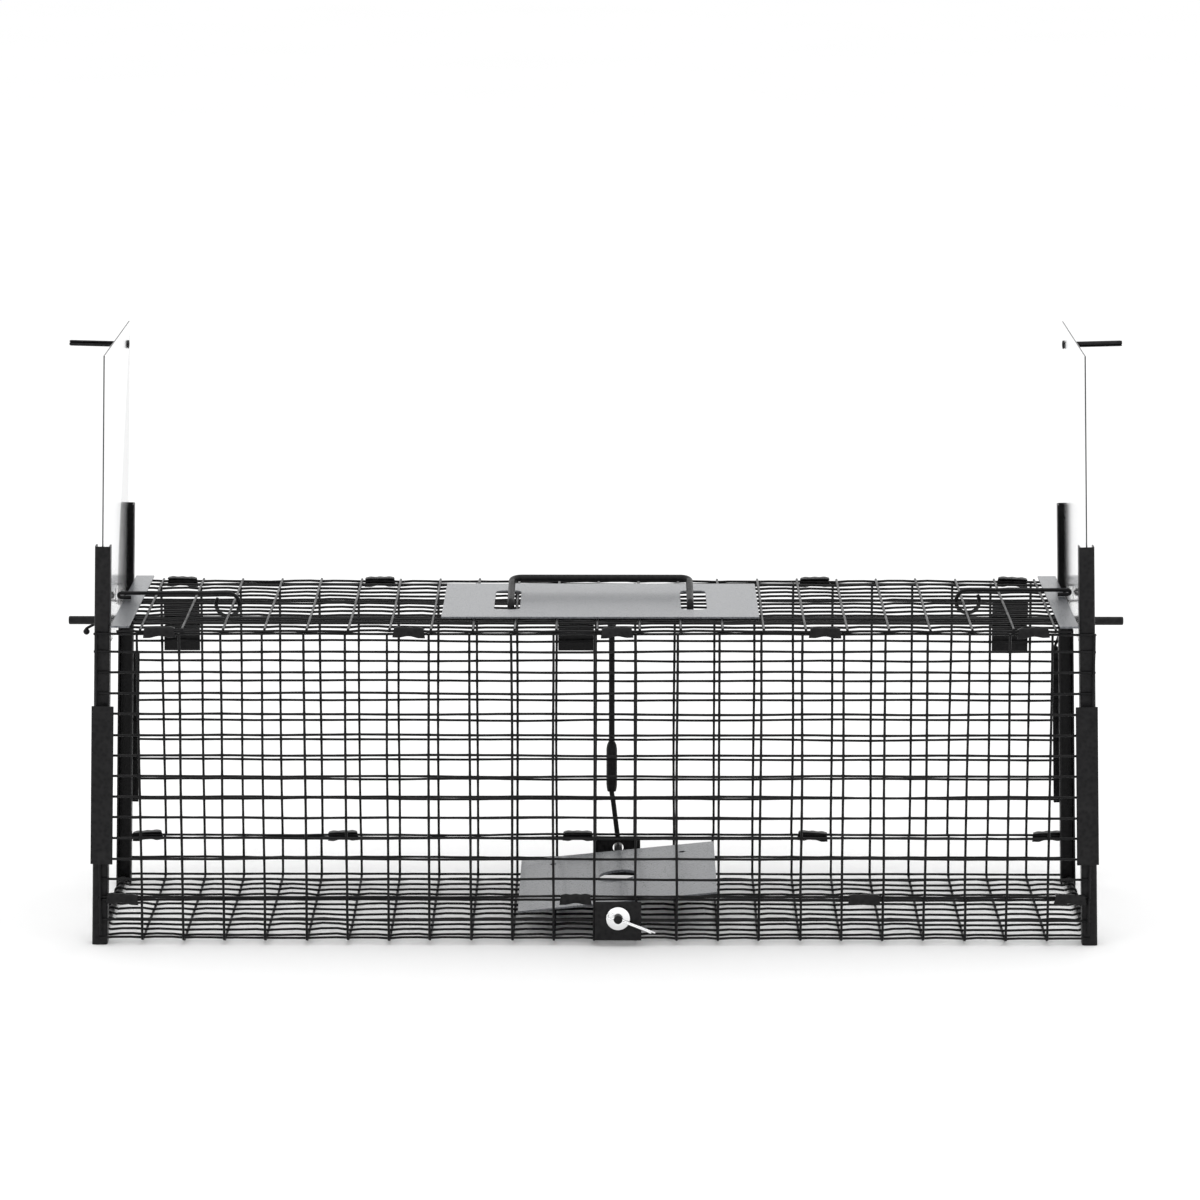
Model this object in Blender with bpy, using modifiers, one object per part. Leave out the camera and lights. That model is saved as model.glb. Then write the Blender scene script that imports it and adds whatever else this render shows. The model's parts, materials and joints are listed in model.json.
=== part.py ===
"""Two-entrance live catch trap of welded mesh, with gravity doors, a treadle and a trip bar.

Frame: +X along the cage, +Y to the rear, +Z up, origin on the ground under the middle of the whole trap.
Both doors are modelled raised, as the trap stands when it is set.
"""
import math

import bmesh
import bpy
from mathutils import Matrix, Vector

# Cage
CAGE_LENGTH = 0.6096
CAGE_DEPTH = 0.1651
CAGE_HEIGHT = 0.1953
MESH_PITCH_LONG = 0.0254
MESH_PITCH = 0.0127
LIP_ROWS = 2
FLOOR_Z = 0.003
BAR_WIDTH = 0.0016
SHEET_THICKNESS = 0.0024
WIRE_SPACE = 0.0015
TOP_SHIFT = 0.002
GAP = 0.0003
CUT_PAST = 0.002
GROUND_SIZE = 1.0

# End frames
LEAN = math.radians(1.48)
CHANNEL_INSET = 0.0013
CHANNEL_WIDTH = 0.0095
CHANNEL_DEPTH = 0.009
CHANNEL_WALL = 0.001
CHANNEL_RISE = 0.0518
CORNER_RADIUS = 0.0012
CROSS_ROD_RADIUS = 0.002
STRIP_WIDTH = 0.0117
STRIP_THICKNESS = 0.0012
CLAMP_WIDTH = 0.0135
CLAMP_BELOW_CAGE_TOP = 0.0466
CLAMP_THICKNESS = 0.0012
CLAMP_INSET = 0.0012
CLAMP_BOTTOM = 0.0523

# Doors
DOOR_THICKNESS = 0.001
DOOR_SIDE_CLEARANCE = 0.0005
DOOR_TOP_GAP = 0.0085
DOOR_CLOSED_BOTTOM = 0.0066
DOOR_TRAVEL = 0.1739
DOOR_PIN_RADIUS = 0.00215
DOOR_PIN_LENGTH = 0.036
DOOR_PIN_HEAD_RADIUS = 0.0032
DOOR_PIN_HEAD = 0.001
DOOR_PIN_FROM_TOP = 0.0121
DOOR_PIN_FROM_REAR = 0.0175
CATCH_SLOT_WIDTH = 0.004
CATCH_SLOT_HEIGHT = 0.009

# Catch levers
LEVER_RADIUS = 0.0011
LEVER_RING_RADIUS = 0.0073
LEVER_RING_SWEEP = math.radians(305)
LEVER_PIVOT_CELL = 3
LEVER_RING_OFFSET = 0.0034
LEVER_HAIRPIN = 0.009
LEVER_HAIRPIN_DROP = 0.0028
LEVER_TIP_CLEARANCE = 0.0006

# Trip bar and its guides
BAR_RADIUS = 0.00275
BAR_OVERHANG = 0.0352
BAR_BELOW_PIN = 0.0052
BAR_BEHIND_MESH = 0.0054
GUIDE_WIDTH = 0.023
GUIDE_FOOT_ABOVE = 0.0094
GUIDE_FOOT_BELOW = 0.0152
GUIDE_THICKNESS = 0.001
GUIDE_CLEARANCE = 0.0004
GUIDE_FROM_END = 1.5
GUIDE_FROM_MIDDLE = -0.5
STEM_X = 0.0103
STEM_RADIUS = 0.0019
SLEEVE_RADIUS = 0.0035
SLEEVE_BORE_RADIUS = 0.0027
SLEEVE_LENGTH = 0.0328
SLEEVE_BOTTOM = 0.0584
STEM_IN_SLEEVE = 0.014

# Lock hooks on the trip bar
HOOK_RADIUS = 0.0009
HOOK_CLEARANCE = 0.0005
HOOK_SWEEP = math.radians(295)
HOOK_SHANK = {"left": 0.0048, "right": 0.0155}
HOOK_SLANT = {"left": 0.009, "right": 0.006}
HOOK_BALL_RADIUS = 0.0021
HOOK_HANG = math.radians(-18.6)
HOOK_OUTBOARD = 0.02
HOOK_FROM_CAGE_END = 0.0024

# Treadle
TREADLE_X = 0.0145
TREADLE_SIZE = 0.1245
TREADLE_THICKNESS = 0.0012
TREADLE_TILT = math.radians(-5.8)
SHAFT_RADIUS = 0.0026
SHAFT_FRONT_Z = 0.0185
SHAFT_REAR_Z = 0.0218
SHAFT_UNDER_PLATE = 0.008
SHAFT_FRONT_END = 0.0034
SHAFT_REAR_END = 0.0075
BAIT_HOLE_RADIUS = 0.012
RIVET_HOLE_RADIUS = 0.002
RIVET_HOLE_X = 0.0415
RIVET_HOLE_Y = 0.0434
ARM_RADIUS = 0.0016
ARM_IN_SLEEVE = 0.004
ARM_BELOW_SLEEVE = 0.001
ARM_BEND_BELOW = 0.007
ARM_BEND_OFFSET = 0.001
BRACKET_WIDTH = 0.0287
BRACKET_THICKNESS = 0.0012
BRACKET_HOLE_CLEARANCE = 0.0009
BRACKET_BOTTOM = 0.0043
BRACKET_ABOVE_SHAFT = 0.0072
BRACKET_MIN_TOP = 0.0287
WASHER_WIDTH = 0.00435
WASHER_CLEARANCE = 0.0004
WASHER_THICKNESS = 0.0012
PIN_RADIUS = 0.001
PIN_HOLE_RADIUS = 0.00135
PIN_HEAD_SIDE = 0.0075
PIN_TAIL_SIDE = 0.025
PIN_SLOPE = math.radians(21.5)

# Handle
PLATE_X = 0.0034
PLATE_Y = 0.0015
PLATE_LENGTH = 0.196
PLATE_DEPTH = 0.111
PLATE_THICKNESS = 0.0012
WINDOW_WIDTH = 0.016
WINDOW_LENGTH = 0.063
WINDOW_RADIUS = 0.005
WINDOW_SPACING = 0.0581
HANDLE_RADIUS = 0.00215
HANDLE_SPAN = 0.112
HANDLE_LEG = 0.0445
HANDLE_BEND = 0.006
HANDLE_RAISE = math.radians(8.5)
HANDLE_EYE_RADIUS = 0.0038
HANDLE_EYE_SWEEP = math.radians(250)

# Seam clips
CLIP_LENGTH = 0.019
CLIP_THICKNESS = 0.0006
CLIP_INSIDE = 0.0057
CLIP_REACH = 0.00375
CLIP_STANDOFF = 0.0024
TOP_CLIP_FROM_END = 1.5
LOWER_CLIP_FROM_END = 0.5
FRONT_TOP_CLIPS = (-4.5, 0.5, 5.5)
REAR_TOP_CLIPS = (-5.5, 5.5)
REAR_LOWER_CLIPS = (-6.5, -0.5, 5.5)
FRONT_LOWER_CLIPS = (-0.5, 6.5)

# Places that follow from the sizes above
CELLS_LONG = 2 * round(CAGE_LENGTH / MESH_PITCH_LONG / 2)
CELLS_DEEP = round(CAGE_DEPTH / MESH_PITCH)
CELLS_HIGH = round(CAGE_HEIGHT / MESH_PITCH)
CELL_X = CAGE_LENGTH / CELLS_LONG
CELL_Y = CAGE_DEPTH / CELLS_DEEP
CELL_Z = CAGE_HEIGHT / CELLS_HIGH
HALF_LENGTH = CAGE_LENGTH / 2
HALF_DEPTH = CAGE_DEPTH / 2
TOP_Z = FLOOR_Z + CAGE_HEIGHT
LIP_TOP = FLOOR_Z + LIP_ROWS * CELL_Z
TOP_SHEET_Z = TOP_Z + GAP
PANEL_TOP_Z = TOP_SHEET_Z - SHEET_THICKNESS / 2 - GAP - BAR_WIDTH / 2
PANEL_BOTTOM_Z = LIP_TOP + BAR_WIDTH + GAP
MESH_OUTSIDE = HALF_DEPTH + WIRE_SPACE
CHANNEL_OUTSIDE = HALF_DEPTH - WIRE_SPACE - GAP
CHANNEL_X = HALF_LENGTH + CHANNEL_INSET
CHANNEL_TOP = TOP_Z + CHANNEL_RISE
STRIP_TOP = TOP_Z + WIRE_SPACE + 2 * GAP + STRIP_THICKNESS
DOOR_HEIGHT = CAGE_HEIGHT - DOOR_TOP_GAP
DOOR_BOTTOM = DOOR_CLOSED_BOTTOM + DOOR_TRAVEL
DOOR_HALF_WIDTH = CHANNEL_OUTSIDE - CHANNEL_WALL - DOOR_SIDE_CLEARANCE
DOOR_PIN_Y = DOOR_HALF_WIDTH - DOOR_PIN_FROM_REAR
DOOR_PIN_Z = DOOR_BOTTOM + DOOR_HEIGHT - DOOR_PIN_FROM_TOP
LEVER_Y = {-1: 0.0, 1: CELL_Y}
LEVER_Z = STRIP_TOP + GAP + LEVER_RADIUS + LEVER_HAIRPIN_DROP + GAP
BAR_REACH = HALF_LENGTH + BAR_OVERHANG
BAR_Y = MESH_OUTSIDE + BAR_BEHIND_MESH
BAR_Z = DOOR_PIN_Z - DOOR_TRAVEL - DOOR_PIN_RADIUS - BAR_RADIUS - BAR_BELOW_PIN
BRACKET_FACE = MESH_OUTSIDE + GAP + BRACKET_THICKNESS
BRACKET_HOLE_RADIUS = SHAFT_RADIUS + BRACKET_HOLE_CLEARANCE
WASHER_HOLE_RADIUS = SHAFT_RADIUS + WASHER_CLEARANCE
WASHER_RADIUS = WASHER_HOLE_RADIUS + WASHER_WIDTH
SHAFT_FRONT_Y = -BRACKET_FACE - GAP - WASHER_THICKNESS - SHAFT_FRONT_END
PLATE_Z = TOP_Z + WIRE_SPACE + 2 * GAP
HANDLE_PIVOT_ROW = CELLS_DEEP // 2
HANDLE_PIVOT_Y = HANDLE_PIVOT_ROW * CELL_Y - HALF_DEPTH
HOOK_EYE_RADIUS = BAR_RADIUS + HOOK_CLEARANCE + HOOK_RADIUS
REAR_EXTENT = BAR_Y + HOOK_EYE_RADIUS + HOOK_RADIUS
CENTRE_Y = -(SHAFT_FRONT_Y + REAR_EXTENT) / 2

BLACK_HAMMER = ("black_hammer", (0.03, 0.031, 0.033), 0.35, 0.5)
GREY_HAMMER = ("grey_hammer", (0.16, 0.165, 0.17), 0.42, 0.5)
BLACK_WIRE = ("black_wire", (0.02, 0.021, 0.022), 0.3, 0.4)
BRIGHT_SHEET = ("bright_sheet", (0.82, 0.83, 0.84), 0.28, 0.9)
BRIGHT_ZINC = ("bright_zinc", (0.86, 0.87, 0.88), 0.2, 1.0)


def start_scene():
    """Empty the scene and open one collection for the trap and one for the cutters."""
    for old in list(bpy.data.objects):
        bpy.data.objects.remove(old)
    for title in ("live_catch_trap", "cutters"):
        bpy.context.scene.collection.children.link(bpy.data.collections.new(title))


def place(obj, parent, finish):
    """Put a new object in the trap's collection under its parent, in its own finish."""
    title, colour, roughness, metallic = finish
    bpy.data.collections["live_catch_trap"].objects.link(obj)
    obj.parent = parent
    material = bpy.data.materials.new(f"{obj.name}_{title}")
    material.use_nodes = True
    shader = material.node_tree.nodes["Principled BSDF"]
    shader.inputs["Base Color"].default_value = (*colour, 1.0)
    shader.inputs["Roughness"].default_value = roughness
    shader.inputs["Metallic"].default_value = metallic
    if not obj.data.materials:
        obj.data.materials.append(None)
    obj.material_slots[0].link = "OBJECT"
    obj.material_slots[0].material = material
    return obj


def empty(name, parent, location, rotation=(0.0, 0.0, 0.0)):
    """A guide that carries the pieces of one assembly."""
    guide = bpy.data.objects.new(name, None)
    bpy.data.collections["live_catch_trap"].objects.link(guide)
    guide.parent = parent
    guide.location = location
    guide.rotation_euler = rotation
    return guide


def mesh_object(name, bm):
    """Turn a finished bmesh into an object, round faces shaded smooth."""
    bmesh.ops.recalc_face_normals(bm, faces=bm.faces)
    data = bpy.data.meshes.new(name)
    bm.to_mesh(data)
    bm.free()
    data.shade_smooth()
    data.set_sharp_from_angle(angle=math.radians(35))
    return bpy.data.objects.new(name, data)


def box(name, low, high):
    """A rectangular block between two corners."""
    low = Vector(low)
    high = Vector(high)
    bm = bmesh.new()
    bmesh.ops.create_cube(bm, size=1.0)
    bmesh.ops.scale(bm, vec=high - low, verts=bm.verts)
    bmesh.ops.translate(bm, vec=(low + high) / 2, verts=bm.verts)
    return mesh_object(name, bm)


def rod(name, radius, start, end, sides=16):
    """A round bar between two points."""
    start = Vector(start)
    end = Vector(end)
    run = end - start
    turn = run.to_track_quat("Z", "Y").to_matrix().to_4x4()
    bm = bmesh.new()
    bmesh.ops.create_cone(
        bm, cap_ends=True, segments=sides, radius1=radius, radius2=radius, depth=run.length,
        matrix=Matrix.Translation((start + end) / 2) @ turn)
    return mesh_object(name, bm)


def cut(obj, cutter, parent):
    """Take a cutter's shape out of an object."""
    bpy.data.collections["cutters"].objects.link(cutter)
    cutter.parent = parent
    cutter.hide_render = True
    cutter.display_type = "WIRE"
    boolean = obj.modifiers.new(cutter.name, "BOOLEAN")
    boolean.operation = "DIFFERENCE"
    boolean.solver = "EXACT"
    boolean.object = cutter


def arc(centre, radius, start, sweep, steps):
    """Points of an arc in a plane, as pairs."""
    points = []
    for step in range(steps + 1):
        angle = start + sweep * step / steps
        points.append((centre[0] + radius * math.cos(angle), centre[1] + radius * math.sin(angle)))
    return points


def rounded(corners, radius, steps=3):
    """An open outline with its inner corners rounded."""
    outline = [Vector(corners[0])]
    for before, corner, after in zip(corners, corners[1:], corners[2:]):
        corner = Vector(corner)
        back = (Vector(before) - corner).normalized()
        ahead = (Vector(after) - corner).normalized()
        half = back.angle(ahead) / 2
        centre = corner + (back + ahead).normalized() * radius / math.sin(half)
        first = corner + back * radius / math.tan(half) - centre
        last = corner + ahead * radius / math.tan(half) - centre
        for step in range(steps + 1):
            blend = first.lerp(last, step / steps).normalized() * radius
            outline.append(centre + blend)
    outline.append(Vector(corners[-1]))
    return outline


def folded(name, outline, axis, start, end, thickness):
    """Sheet metal folded along an outline: the outline swept along X, Y or Z, then thickened."""
    others = [index for index in range(3) if index != axis]
    bm = bmesh.new()
    chain = []
    for point in outline:
        corner = Vector((0.0, 0.0, 0.0))
        corner[others[0]] = point[0]
        corner[others[1]] = point[1]
        corner[axis] = start
        chain.append(bm.verts.new(corner))
    edges = [bm.edges.new(pair) for pair in zip(chain, chain[1:])]
    swept = bmesh.ops.extrude_edge_only(bm, edges=edges)["geom"]
    step = Vector((0.0, 0.0, 0.0))
    step[axis] = end - start
    bmesh.ops.translate(bm, vec=step, verts=[item for item in swept if isinstance(item, bmesh.types.BMVert)])
    obj = mesh_object(name, bm)
    shell = obj.modifiers.new("sheet", "SOLIDIFY")
    shell.thickness = thickness
    shell.offset = 0.0
    shell.use_even_offset = True
    return obj


def wire(name, points, radius, swell=None):
    """Round wire bent along points; swell gives each point's share of the radius."""
    curve = bpy.data.curves.new(name, "CURVE")
    curve.dimensions = "3D"
    curve.bevel_depth = radius
    curve.bevel_resolution = 2
    curve.use_fill_caps = True
    spline = curve.splines.new("POLY")
    spline.points.add(len(points) - 1)
    for index, point in enumerate(points):
        spline.points[index].co = (*point, 1.0)
        if swell:
            spline.points[index].radius = swell[index]
    return bpy.data.objects.new(name, curve)


def bar_edges(lines):
    """Both edges of each bar that is centred on a line."""
    edges = []
    for line in lines:
        edges.extend((line - BAR_WIDTH / 2, line + BAR_WIDTH / 2))
    return edges


def mesh_sheet(name, across, along, lay):
    """Welded mesh as one sheet: bars on the listed lines, open between them; lay puts a point in place."""
    edges_u = bar_edges(across)
    edges_v = bar_edges(along)
    count_u = len(edges_u) - 1
    count_v = len(edges_v) - 1
    bm = bmesh.new()
    bmesh.ops.create_grid(bm, x_segments=count_u, y_segments=count_v, size=0.5)
    open_cells = []
    for face in bm.faces:
        middle = face.calc_center_median()
        odd_u = int((middle.x + 0.5) * count_u) % 2
        odd_v = int((middle.y + 0.5) * count_v) % 2
        if odd_u and odd_v:
            open_cells.append(face)
    for vert in bm.verts:
        u = edges_u[round((vert.co.x + 0.5) * count_u)]
        v = edges_v[round((vert.co.y + 0.5) * count_v)]
        vert.co = lay(u, v)
    bmesh.ops.delete(bm, geom=open_cells, context="FACES")
    obj = mesh_object(name, bm)
    sheet = obj.modifiers.new("wire", "SOLIDIFY")
    sheet.thickness = SHEET_THICKNESS
    sheet.offset = 0.0
    return obj


def columns(first, last, step):
    """Cross wires of the long panels, counted in cells from the left end."""
    return [cell * CELL_X - HALF_LENGTH for cell in range(first, last + 1, step)]


def spread(first, last, spaces):
    """Row numbers from first to last, about evenly apart."""
    return [first + round((last - first) * step / spaces) for step in range(spaces + 1)]


def build_mesh_panels(trap):
    """Floor, its two folded lips, and the front, rear and top panels."""
    rod_inside = CHANNEL_X - CHANNEL_WIDTH / 2 - FLOOR_Z * math.tan(LEAN) - 2 * GAP - BAR_WIDTH / 2
    floor_columns = [-rod_inside] + columns(2, CELLS_LONG - 2, 2) + [rod_inside]
    floor_rows = [row * CELL_Y - HALF_DEPTH for row in spread(0, CELLS_DEEP, 5)]
    place(mesh_sheet("floor_mesh", floor_columns, floor_rows, lambda u, v: (u, v, FLOOR_Z)), trap, BLACK_WIRE)
    side_columns = columns(0, CELLS_LONG, 2)
    lip_low = FLOOR_Z + SHEET_THICKNESS / 2 + GAP + BAR_WIDTH / 2
    wall_rows = [FLOOR_Z + row * CELL_Z for row in spread(LIP_ROWS, CELLS_HIGH, 5)]
    wall_rows[0] = PANEL_BOTTOM_Z
    wall_rows[-1] = PANEL_TOP_Z
    for title, side in (("front", -1), ("rear", 1)):
        y = side * HALF_DEPTH
        lip = mesh_sheet(f"floor_lip_{title}", side_columns, (lip_low, LIP_TOP), lambda u, v: (u, y, v))
        place(lip, trap, BLACK_WIRE)
        wall = mesh_sheet(f"{title}_mesh", side_columns, wall_rows, lambda u, v: (u, y, v))
        place(wall, trap, BLACK_WIRE)
    top_end = (CELLS_LONG - 1) * CELL_X / 2
    top_columns = [TOP_SHIFT + x for x in columns(1, CELLS_LONG - 1, 2)]
    top_rows = list(floor_rows)
    top_rows[2] = HANDLE_PIVOT_Y
    top_columns = [-top_end] + top_columns + [top_end]
    top = mesh_sheet("top_mesh", top_columns, top_rows, lambda u, v: (u, v, TOP_SHEET_Z))
    place(top, trap, BLACK_WIRE)


def build_end_frame(trap, title, side, ground):
    """Two door channels, the rod and strip between them, and the plates that clamp the mesh ends."""
    end = empty(f"{title}_end", trap, (side * CHANNEL_X, 0.0, 0.0), (0.0, -side * LEAN, 0.0))
    half = (CHANNEL_WIDTH - CHANNEL_WALL) / 2
    for place_name, facing in (("front", -1), ("rear", 1)):
        web = facing * (CHANNEL_OUTSIDE - CHANNEL_WALL / 2)
        lip = facing * (CHANNEL_OUTSIDE - CHANNEL_DEPTH)
        outline = rounded(((-half, lip), (-half, web), (half, web), (half, lip)), CORNER_RADIUS)
        channel = folded(f"{title}_{place_name}_channel", outline, 2, -CUT_PAST, CHANNEL_TOP, CHANNEL_WALL)
        place(channel, end, BLACK_HAMMER)
        boolean = channel.modifiers.new("level_foot", "BOOLEAN")
        boolean.operation = "DIFFERENCE"
        boolean.object = ground
        near = facing * (MESH_OUTSIDE + GAP)
        far = near + facing * CLAMP_THICKNESS
        middle = -side * CLAMP_INSET
        low = (middle - CLAMP_WIDTH / 2, min(near, far), CLAMP_BOTTOM)
        high = (middle + CLAMP_WIDTH / 2, max(near, far), TOP_Z - CLAMP_BELOW_CAGE_TOP)
        place(box(f"{title}_{place_name}_clamp", low, high), end, BLACK_HAMMER)
    reach = CHANNEL_OUTSIDE - CHANNEL_WALL - GAP
    rod_z = CROSS_ROD_RADIUS + 2 * GAP
    cross = rod(f"{title}_cross_rod", CROSS_ROD_RADIUS, (0.0, -reach, rod_z), (0.0, reach, rod_z))
    place(cross, end, BLACK_HAMMER)
    channel_face = CHANNEL_X - CHANNEL_WIDTH / 2 - STRIP_TOP * math.tan(LEAN) - 2 * GAP
    edges = sorted((side * channel_face, side * (channel_face - STRIP_WIDTH)))
    low = (edges[0], -MESH_OUTSIDE, STRIP_TOP - STRIP_THICKNESS)
    high = (edges[1], MESH_OUTSIDE, STRIP_TOP)
    place(box(f"{title}_top_strip", low, high), trap, GREY_HAMMER)
    return end


def build_door(end, title, side):
    """Sliding sheet with its lifting pin and the slot that the catch lever reaches into."""
    travel = empty(f"{title}_door_slide", end, (0.0, 0.0, 0.0))
    half = DOOR_THICKNESS / 2
    low = (-half, -DOOR_HALF_WIDTH, DOOR_BOTTOM)
    high = (half, DOOR_HALF_WIDTH, DOOR_BOTTOM + DOOR_HEIGHT)
    door = place(box(f"{title}_door", low, high), travel, BRIGHT_SHEET)
    hole = rod(f"{title}_pin_hole", DOOR_PIN_RADIUS + GAP, (-CUT_PAST, DOOR_PIN_Y, DOOR_PIN_Z),
               (CUT_PAST, DOOR_PIN_Y, DOOR_PIN_Z))
    cut(door, hole, travel)
    slot_z = LEVER_Z - LEVER_HAIRPIN_DROP / 2
    slot = box(f"{title}_catch_slot",
               (-CUT_PAST, LEVER_Y[side] - CATCH_SLOT_WIDTH / 2, slot_z - CATCH_SLOT_HEIGHT / 2),
               (CUT_PAST, LEVER_Y[side] + CATCH_SLOT_WIDTH / 2, slot_z + CATCH_SLOT_HEIGHT / 2))
    cut(door, slot, travel)
    head_face = -half - GAP
    profile = ((0.0, DOOR_PIN_LENGTH), (DOOR_PIN_RADIUS, DOOR_PIN_LENGTH), (DOOR_PIN_RADIUS, head_face),
               (DOOR_PIN_HEAD_RADIUS, head_face), (DOOR_PIN_HEAD_RADIUS, head_face - DOOR_PIN_HEAD),
               (0.0, head_face - DOOR_PIN_HEAD))
    pin = turned(f"{title}_door_pin", profile)
    pin.location = (0.0, DOOR_PIN_Y, DOOR_PIN_Z)
    pin.rotation_euler = (0.0, side * math.pi / 2, 0.0)
    place(pin, travel, BLACK_HAMMER)


def turned(name, profile, steps=16):
    """A turned piece: a profile of radius and height round Z, from its top down the outside."""
    bm = bmesh.new()
    chain = [bm.verts.new((radius, 0.0, height)) for radius, height in profile]
    for pair in zip(chain, chain[1:]):
        bm.edges.new(pair)
    data = bpy.data.meshes.new(name)
    bm.to_mesh(data)
    bm.free()
    obj = bpy.data.objects.new(name, data)
    screw = obj.modifiers.new("turn", "SCREW")
    screw.steps = steps
    screw.render_steps = steps
    screw.use_merge_vertices = True
    screw.merge_threshold = 0.00005
    return obj


def build_catch_lever(trap, title, side):
    """Wire lever: its ring turns on a cross wire of the top, and its hairpin tip reaches the raised door."""
    wire_x = side * (HALF_LENGTH - LEVER_PIVOT_CELL * CELL_X) + TOP_SHIFT
    pivot = empty(f"{title}_lever_pivot", trap, (wire_x, LEVER_Y[side], TOP_SHEET_Z))
    ring_x = side * LEVER_RING_OFFSET
    ring_z = LEVER_Z - TOP_SHEET_Z - LEVER_RING_RADIUS
    door_face = CHANNEL_X - LEVER_Z * math.tan(LEAN) - DOOR_THICKNESS / 2
    tip = side * (door_face - LEVER_TIP_CLEARANCE) - wire_x
    bend = LEVER_HAIRPIN_DROP / 2
    outline = [(tip - side * LEVER_HAIRPIN, ring_z + LEVER_RING_RADIUS - LEVER_HAIRPIN_DROP)]
    centre = (tip - side * (bend + LEVER_RADIUS), ring_z + LEVER_RING_RADIUS - bend)
    outline += arc(centre, bend, -math.pi / 2, side * math.pi, 6)
    outline += arc((ring_x, ring_z), LEVER_RING_RADIUS, math.pi / 2, side * LEVER_RING_SWEEP, 22)
    points = [(x, 0.0, z) for x, z in outline]
    place(wire(f"{title}_catch_lever", points, LEVER_RADIUS), pivot, BLACK_WIRE)


def build_trip_bar(trap):
    """Long bar behind the rear mesh with its stem and sleeve, and the three saddles that guide it."""
    slide = empty("trip_bar_slide", trap, (0.0, BAR_Y, BAR_Z))
    place(rod("trip_bar", BAR_RADIUS, (-BAR_REACH, 0.0, 0.0), (BAR_REACH, 0.0, 0.0)), slide, BLACK_HAMMER)
    stem_low = SLEEVE_BOTTOM + SLEEVE_LENGTH - STEM_IN_SLEEVE - BAR_Z
    stem = rod("trip_stem", STEM_RADIUS, (STEM_X, 0.0, stem_low), (STEM_X, 0.0, -BAR_RADIUS - GAP), 12)
    place(stem, slide, BLACK_HAMMER)
    low = SLEEVE_BOTTOM - BAR_Z
    high = low + SLEEVE_LENGTH
    sleeve = rod("trip_sleeve", SLEEVE_RADIUS, (STEM_X, 0.0, low), (STEM_X, 0.0, high))
    place(sleeve, slide, BLACK_HAMMER)
    bore = rod("sleeve_bore", SLEEVE_BORE_RADIUS, (STEM_X, 0.0, low - CUT_PAST),
               (STEM_X, 0.0, high + CUT_PAST))
    cut(sleeve, bore, slide)
    foot_y = MESH_OUTSIDE + GAP + GUIDE_THICKNESS / 2
    crown_y = BAR_Y + BAR_RADIUS + GUIDE_CLEARANCE + GUIDE_THICKNESS / 2
    wall = BAR_RADIUS + GUIDE_CLEARANCE + GUIDE_THICKNESS / 2
    outline = rounded(((foot_y, BAR_Z - wall - GUIDE_FOOT_BELOW), (foot_y, BAR_Z - wall), (crown_y, BAR_Z - wall),
                       (crown_y, BAR_Z + wall), (foot_y, BAR_Z + wall), (foot_y, BAR_Z + wall + GUIDE_FOOT_ABOVE)),
                      CORNER_RADIUS, 2)
    end_x = HALF_LENGTH - GUIDE_FROM_END * CELL_X
    for title, x in (("left", -end_x), ("middle", GUIDE_FROM_MIDDLE * CELL_X), ("right", end_x)):
        guide = folded(f"{title}_bar_guide", outline, 0, x - GUIDE_WIDTH / 2, x + GUIDE_WIDTH / 2,
                       GUIDE_THICKNESS)
        place(guide, trap, BLACK_HAMMER)
    return slide


def build_lock_hook(slide, title, x):
    """Ball-ended wire hook that hangs by its eye on the trip bar."""
    outline = arc((0.0, 0.0), HOOK_EYE_RADIUS, HOOK_SWEEP, -HOOK_SWEEP, 18)
    points = [(0.0, y, z) for y, z in outline]
    swell = [1.0] * len(points)
    ball_share = HOOK_BALL_RADIUS / HOOK_RADIUS
    shank = HOOK_SHANK[title]
    slant = HOOK_SLANT[title]
    for step in range(1, 5):
        share = step / 4
        points.append((-slant * share, HOOK_EYE_RADIUS, -shank * share))
        swell.append(1.0)
    for step in range(1, 8):
        angle = math.pi * (0.15 + 0.8 * step / 7)
        drop = shank + HOOK_BALL_RADIUS * (1.0 - math.cos(angle))
        points.append((-slant, HOOK_EYE_RADIUS, -drop))
        swell.append(ball_share * math.sin(angle))
    pivot = empty(f"{title}_hook_pivot", slide, (x, 0.0, 0.0), (HOOK_HANG, 0.0, 0.0))
    place(wire(f"{title}_lock_hook", points, HOOK_RADIUS, swell), pivot, BLACK_WIRE)


def shaft_height(y):
    """Height of the treadle's axis, which rises a little from front to rear."""
    share = (y + MESH_OUTSIDE) / (2 * MESH_OUTSIDE)
    return SHAFT_FRONT_Z + (SHAFT_REAR_Z - SHAFT_FRONT_Z) * share


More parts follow.
